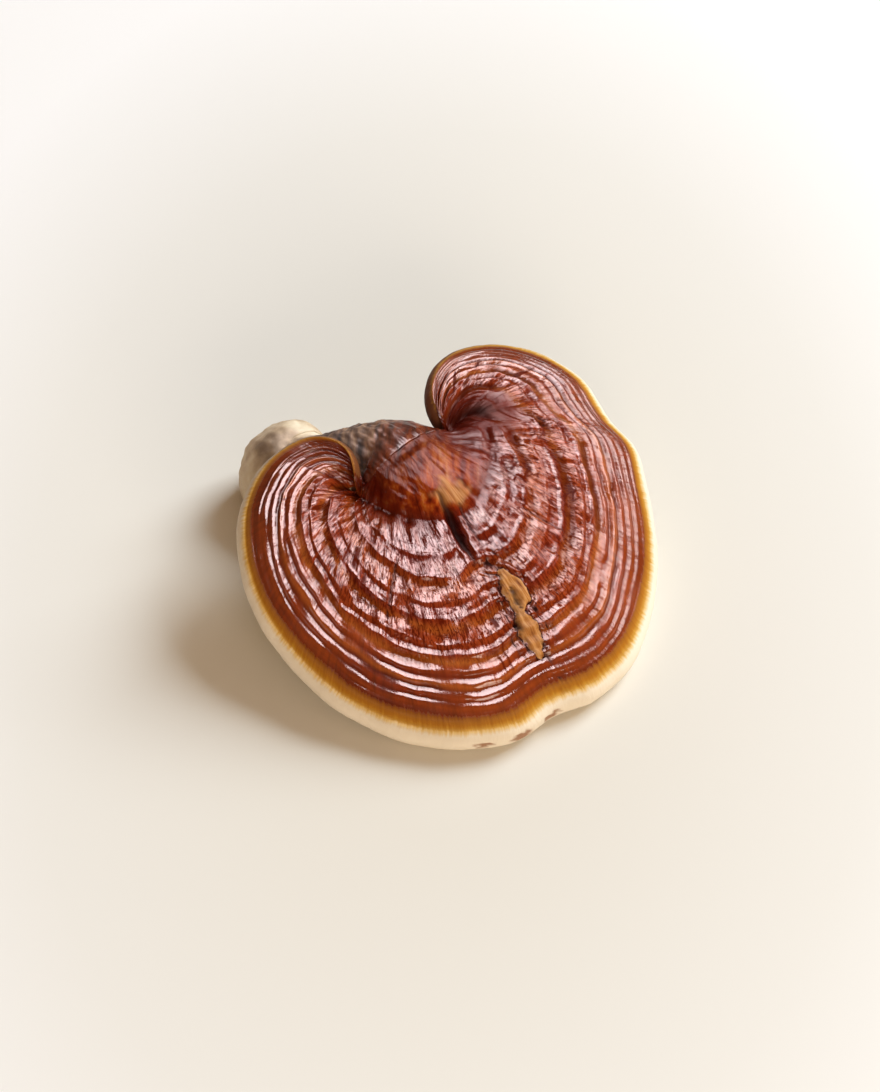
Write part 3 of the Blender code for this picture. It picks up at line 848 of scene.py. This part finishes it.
    # painted shade: the rim's tones darkened to brown, where the rim runs into the neck
    shaded_rim = add(tree, "ValToRGB", {"stops": [
        (0.0, "#6E300C"), (0.30, "#9A5A18"), (0.46, "#B07C30"), (0.58, "#6E3E1A"), (1.0, "#50290F")]},
        Fac=rim_share.outputs[0]).outputs[0]
    rim_tone = over(tree, shaded_rim, rim_tone, hub["Z"])
    rim_tone = over(tree, rim_tone, "#8E5A34", stain["Y"], 0.85)
    at_rim = add(tree, "MapRange", {"From Min": 4.4, "From Max": 3.4}, Value=edge).outputs[0]
    colour = over(tree, crust, rim_tone, at_rim)
    tree.links.new(colour, shader.inputs["Base Color"])

    # gloss: bare flesh and the cream rim are matt, and the lacquer is glassier in some places than in
    # others, over about 8 mm
    bare = strongest(tree, at_rim, flesh, splits_and_shade)
    patch = add(tree, "TexNoise", {"Scale": 130.0, "Detail": 2.0}, Vector=where)
    gloss = add(tree, "MapRange", {"From Min": 0.35, "From Max": 0.65, "To Min": 0.09, "To Max": 0.22},
                Value=patch.outputs[0])
    rough = add(tree, "Mix", {3: 0.60}, i0=bare, i2=gloss.outputs[0])
    tree.links.new(rough.outputs[0], shader.inputs["Roughness"])
    shader.inputs["IOR"].default_value = 1.6
    # resin in the grooves and cracks lies too deep and too rough to shine, and the knuckle is aged
    deep = add(tree, "Math", {"operation": "ADD"}, i0=wear["X"], i1=hairs).outputs[0]
    dulled = add(tree, "Math", {"operation": "MULTIPLY", 1: 0.88}, i0=hub["Y"]).outputs[0]
    knuckled = add(tree, "Math", {"operation": "MULTIPLY", 1: 1.7}, i0=skin["X"]).outputs[0]
    aged = strongest(tree, knuckled, hub["X"], bare)
    aged = add(tree, "Math", {"operation": "MINIMUM", 1: 0.84}, i0=aged).outputs[0]
    deep = strongest(tree, deep, stain["X"], dulled, splits_and_shade, aged)
    shine = add(tree, "MapRange", {"To Min": 0.5, "To Max": 0.02}, Value=deep)
    tree.links.new(shine.outputs[0], shader.inputs["Specular IOR Level"])

    pebble = add(tree, "TexNoise", {"Scale": 2000.0, "Detail": 2.0}, Vector=where)
    low = add(tree, "Bump", {"Strength": 0.9, "Distance": 0.00016}, Height=plates.outputs[0])
    fine = add(tree, "Bump", {"Strength": 0.4, "Distance": 0.00004}, Height=pebble.outputs[0],
               Normal=low.outputs[0])
    tree.links.new(fine.outputs[0], shader.inputs["Normal"])
    return material


def pore_surface():
    """The underside: a layer of fine tubes, pale tan and matt.

    Real pores are about 0.2 mm wide, and these are drawn about 1 mm wide, so that they show.
    """
    material, tree, shader = new_material("Reishi pore layer")
    where = add(tree, "TexCoord")
    pores = add(tree, "TexVoronoi", {"Scale": 900.0}, Vector=where.outputs["Object"])
    cloud = add(tree, "TexNoise", {"Scale": 60.0, "Detail": 4.0}, Vector=where.outputs["Object"])
    tone = add(tree, "ValToRGB", {"stops": [(0.3, "#CDB68E"), (0.5, "#E2D2AE"), (0.7, "#EFE4C8")]},
               Fac=cloud.outputs[0])
    # each pore is darker in its middle, a painted shade in its tube
    pit = add(tree, "ValToRGB", {"stops": [(0.10, 0.72), (0.42, 1.0)]}, Fac=pores.outputs["Distance"])
    colour = add(tree, "Mix", {"data_type": "RGBA", "blend_type": "MULTIPLY", 0: 1.0},
                 i6=tone.outputs[0], i7=pit.outputs[0])
    tree.links.new(colour.outputs[2], shader.inputs["Base Color"])
    shader.inputs["Roughness"].default_value = 0.8
    bump = add(tree, "Bump", {"Strength": 0.5, "Distance": 0.0003}, Height=pores.outputs["Distance"])
    tree.links.new(bump.outputs[0], shader.inputs["Normal"])
    return material


def stem_crust():
    """Stem crust: glossy orange-brown at the neck, then dull grey-brown fibre, then the pale corky foot."""
    material, tree, shader = new_material("Reishi stem crust")
    growth = mask_outputs(tree, "growth")
    where = add(tree, "TexCoord").outputs["Object"]
    front = fibre_tone(tree, where, KNUCKLE_FRONT)
    back = fibre_tone(tree, where, KNUCKLE_BACK)
    tone = over(tree, front, back, growth["Z"])
    grey = fibre_tone(tree, where, STEM_GREY)
    drift = add(tree, "TexNoise", {"Scale": 120.0, "Detail": 4.0}, Vector=where)
    shifted = add(tree, "Math", {"operation": "MULTIPLY_ADD", 1: 14.0, 2: -7.0}, i0=drift.outputs[0])
    down = add(tree, "Math", {"operation": "ADD"}, i0=growth["Y"], i1=shifted.outputs[0]).outputs[0]
    to_grey = add(tree, "MapRange", {"From Min": 6.0, "From Max": 20.0}, Value=down)
    tone = over(tree, tone, grey, to_grey.outputs[0])
    to_dark = add(tree, "MapRange", {"From Min": 38.0, "From Max": 50.0}, Value=down)
    tone = over(tree, tone, "#3A1E10", to_dark.outputs[0])
    cloud = add(tree, "TexNoise", {"Scale": 110.0, "Detail": 5.0}, Vector=where)
    cork = add(tree, "ValToRGB", {"stops": [
        (0.30, "#8E7658"), (0.42, "#BFA684"), (0.55, "#DCC9A8"), (0.72, "#EADCC0")]}, Fac=cloud.outputs[0])
    to_foot = add(tree, "MapRange", {"From Min": 55.0, "From Max": 59.0}, Value=down)
    tone = over(tree, tone, cork.outputs[0], to_foot.outputs[0])
    tree.links.new(tone, shader.inputs["Base Color"])
    dull = add(tree, "MapRange", {"From Min": 3.0, "From Max": 20.0, "To Min": 0.24, "To Max": 0.65},
               Value=down)
    tree.links.new(dull.outputs[0], shader.inputs["Roughness"])
    shader.inputs["IOR"].default_value = 1.55
    grain = add(tree, "TexNoise", {"Scale": 900.0, "Detail": 3.0}, Vector=where)
    bump = add(tree, "Bump", {"Strength": 0.35, "Distance": 0.0001}, Height=grain.outputs[0])
    tree.links.new(bump.outputs[0], shader.inputs["Normal"])
    return material


def floor_paper():
    """Warm paper, with painted light that makes it lighter towards the corners of the sheet."""
    material, tree, shader = new_material("Warm white paper")
    place = add(tree, "NewGeometry")
    squared = add(tree, "VectorMath", {"operation": "MULTIPLY", 1: (8.0, 5.0, 0.0)},
                  i0=place.outputs["Position"])
    away = add(tree, "VectorMath", {"operation": "LENGTH"}, i0=squared.outputs[0])
    share = add(tree, "MapRange", {"From Min": 0.45, "From Max": 1.5}, Value=away.outputs["Value"])
    # painted light: the paper is drawn lighter the farther it lies from the mushroom
    tone = add(tree, "ValToRGB", {"stops": [
        (0.0, "#E8E4DA"), (0.5, "#F0EEE8"), (1.0, "#FFFFFF")]}, Fac=share.outputs[0])
    tree.links.new(tone.outputs[0], shader.inputs["Base Color"])
    shader.inputs["Roughness"].default_value = 0.9
    shader.inputs["Specular IOR Level"].default_value = 0.2
    return material


# ---------------------------------------------------------------------------------------------
# The two pieces, set in the frame
# ---------------------------------------------------------------------------------------------

cap_points, cap_measures = make_cap()
stem_points, stem_measures = make_stem()

# the foot's cut: nothing of the stem goes below the surface that the cap lies on, and rings close its
# end, which leans by up to 2 mm from that surface
stem_points[..., 2] = np.maximum(stem_points[..., 2], cap_points[..., 2].min())
edge = stem_points[-1]
middle = edge.mean(axis=0)
inwards = [middle + (edge - middle) * share for share in FOOT_RINGS]
stem_points = np.concatenate([stem_points, inwards])
stem_measures = {
    label: np.concatenate([values, np.repeat(values[-1:], len(inwards), axis=0)])
    for label, values in stem_measures.items()
}

# the whole mushroom is seated on the floor of its box and fills it
both = np.concatenate([cap_points.reshape(-1, 3), stem_points.reshape(-1, 3)])
low, high = both.min(axis=0), both.max(axis=0)
cad_low, cad_high = (np.array(corner) / MM for corner in cad_box)
fit = np.minimum((cad_high - cad_low) / (high - low), LARGEST_STRETCH)
seat = (cad_high + cad_low) / 2 - (high + low) / 2 * fit
seat[2] = cad_low[2] - low[2] * fit[2]
cap_points = cap_points * fit + seat
stem_points = stem_points * fit + seat

crust, pores, stem_skin, paper = lacquered_crust(), pore_surface(), stem_crust(), floor_paper()
# the cap's grid is open at the neck, and its outer points in order are the mouth that gets closed
stations, columns = cap_points.shape[:2]
cap_faces = grid_faces(stations, columns, closed=False)
place = np.arange(stations * columns).reshape(stations, columns)
mouth = [*place[:, 0], *place[-1, 1:], *place[-2::-1, -1], *place[0, -2:0:-1]]
cap = mesh_piece("Reishi_cap", cap_points, cap_faces, [mouth], cap_measures, [crust, pores])
under = np.zeros(len(cap.data.polygons), np.int32)
under[: len(cap_faces)] = (cap_faces[:, 0] % columns) >= TOP_ROWS + RIM_ROWS - 1
cap.data.polygons.foreach_set("material_index", under)

# seen from outside the stem's quads turn the other way
stem_faces = grid_faces(*stem_points.shape[:2], closed=True)[:, ::-1]
place = np.arange(stem_points.shape[0] * STEM_SIDES).reshape(-1, STEM_SIDES)
stem_ends = [place[0], place[-1, ::-1]]
stem = mesh_piece("Reishi_stem", stem_points, stem_faces, stem_ends, stem_measures, [stem_skin])

for piece, node, slot in ((cap, "cap", "lacquered_cap"), (stem, "stem", "stem_crust")):
    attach(piece, "root")
    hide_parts(node)

# ---------------------------------------------------------------------------------------------
# Floor, light and camera
# ---------------------------------------------------------------------------------------------

FLOOR_SIZE = 14.0  # metres, so that no edge of it shows
bpy.ops.mesh.primitive_plane_add(size=FLOOR_SIZE)
floor = bpy.context.object
floor.name = "Paper_floor"
floor.data.materials.append(paper)

MUSHROOM_MIDDLE = Vector((0.0, 0.0, 0.02))


def soft_light(name, toward, distance, size, power, colour):
    """A sheet of light at this distance in this direction, facing the mushroom."""
    data = bpy.data.lights.new(name, "AREA")
    data.shape = "RECTANGLE"
    data.size, data.size_y = size
    data.energy = power
    data.color = linear(colour)[:3]
    lamp = bpy.data.objects.new(name, data)
    direction = Vector(toward).normalized()
    lamp.location = MUSHROOM_MIDDLE + direction * distance
    lamp.rotation_euler = direction.to_track_quat("Z", "Y").to_euler()
    bpy.context.scene.collection.objects.link(lamp)
    return lamp


window = soft_light("Window", (1.1, 0.9, 1.0), 4.0, (2.2, 2.2), 222.0, "#EAF6FF")
window.visible_glossy = False
soft_light("Front_card", (0.35, -1.0, 0.3), 1.6, (1.0, 0.6), 15.0, "#FFF0DC")
# two white boards, one overhead and one at the side, which only show as the sheen on the lacquer
for name, toward, distance, size, power, colour in (
    ("White_board", (0.08, 0.30, 1.0), 0.9, (0.52, 0.88), 25.0, "#F8E8EA"),
    ("Side_board", (1.1, 0.9, 1.0), 2.0, (1.0, 1.0), 36.0, "#F8E0DC"),
):
    board = soft_light(name, toward, distance, size, power, colour)
    board.visible_diffuse = False

world = bpy.data.worlds.new("Room")
bpy.context.scene.world = world
world.use_nodes = True
room = world.node_tree.nodes["Background"].inputs
room["Color"].default_value = linear("#FFD09C")
room["Strength"].default_value = 0.26

camera_data = bpy.data.cameras.new("Camera")
camera_data.lens = 85.0
camera_data.sensor_width = 36.0
camera_data.clip_start = 0.01
camera = bpy.data.objects.new("Camera", camera_data)
bpy.context.scene.collection.objects.link(camera)
LOOKS_DOWN = np.radians(50)
CAMERA_DISTANCE = 0.733
LOOKS_AT = Vector((-0.0017, -0.0037, 0.0182))
back_off = Vector((0.0, -np.cos(LOOKS_DOWN), np.sin(LOOKS_DOWN)))
camera.location = LOOKS_AT + back_off * CAMERA_DISTANCE
camera.rotation_euler = (np.pi / 2 - LOOKS_DOWN, 0.0, 0.0)
bpy.context.scene.camera = camera
bpy.context.scene.view_settings.view_transform = "Standard"
